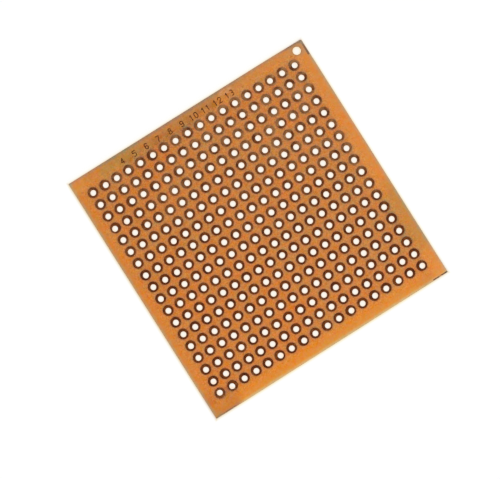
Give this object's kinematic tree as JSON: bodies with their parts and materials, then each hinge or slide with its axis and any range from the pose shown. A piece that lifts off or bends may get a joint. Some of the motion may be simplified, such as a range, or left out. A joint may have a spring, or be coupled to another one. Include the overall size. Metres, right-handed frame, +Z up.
{
  "type": "prototype board",
  "caption": "Square single-sided prototype board: a punched phenolic paper sheet with a full grid of round copper solder pads, column numerals, corner marks and a corner mounting hole.",
  "frame": {"origin": "middle of the board's outline box, on the bare underside", "axes": "+X along the hole rows, +Y towards the edge with the column numerals, +Z up out of the copper side"},
  "size_m": [0.05, 0.0504, 0.0012],
  "materials": {
    "laminate": "satin, resin-bonded paper",
    "pads": "oxidised dark brown copper",
    "etched_marks": "oxidised dark brown copper"
  },
  "bodies": {
    "root": {"laminate": "laminate", "pad_row_01": "pads", "pad_row_02": "pads", "pad_row_03": "pads", "pad_row_04": "pads", "pad_row_05": "pads", "pad_row_06": "pads", "pad_row_07": "pads", "pad_row_08": "pads", "pad_row_09": "pads", "pad_row_10": "pads", "pad_row_11": "pads", "pad_row_12": "pads", "pad_row_13": "pads", "pad_row_14": "pads", "pad_row_15": "pads", "pad_row_16": "pads", "pad_row_17": "pads", "pad_row_18": "pads", "column_numerals": "etched_marks", "corner_mark_rear_right": "etched_marks", "corner_mark_front_right": "etched_marks", "corner_mark_front_left": "etched_marks"}
  },
  "joints": []
}
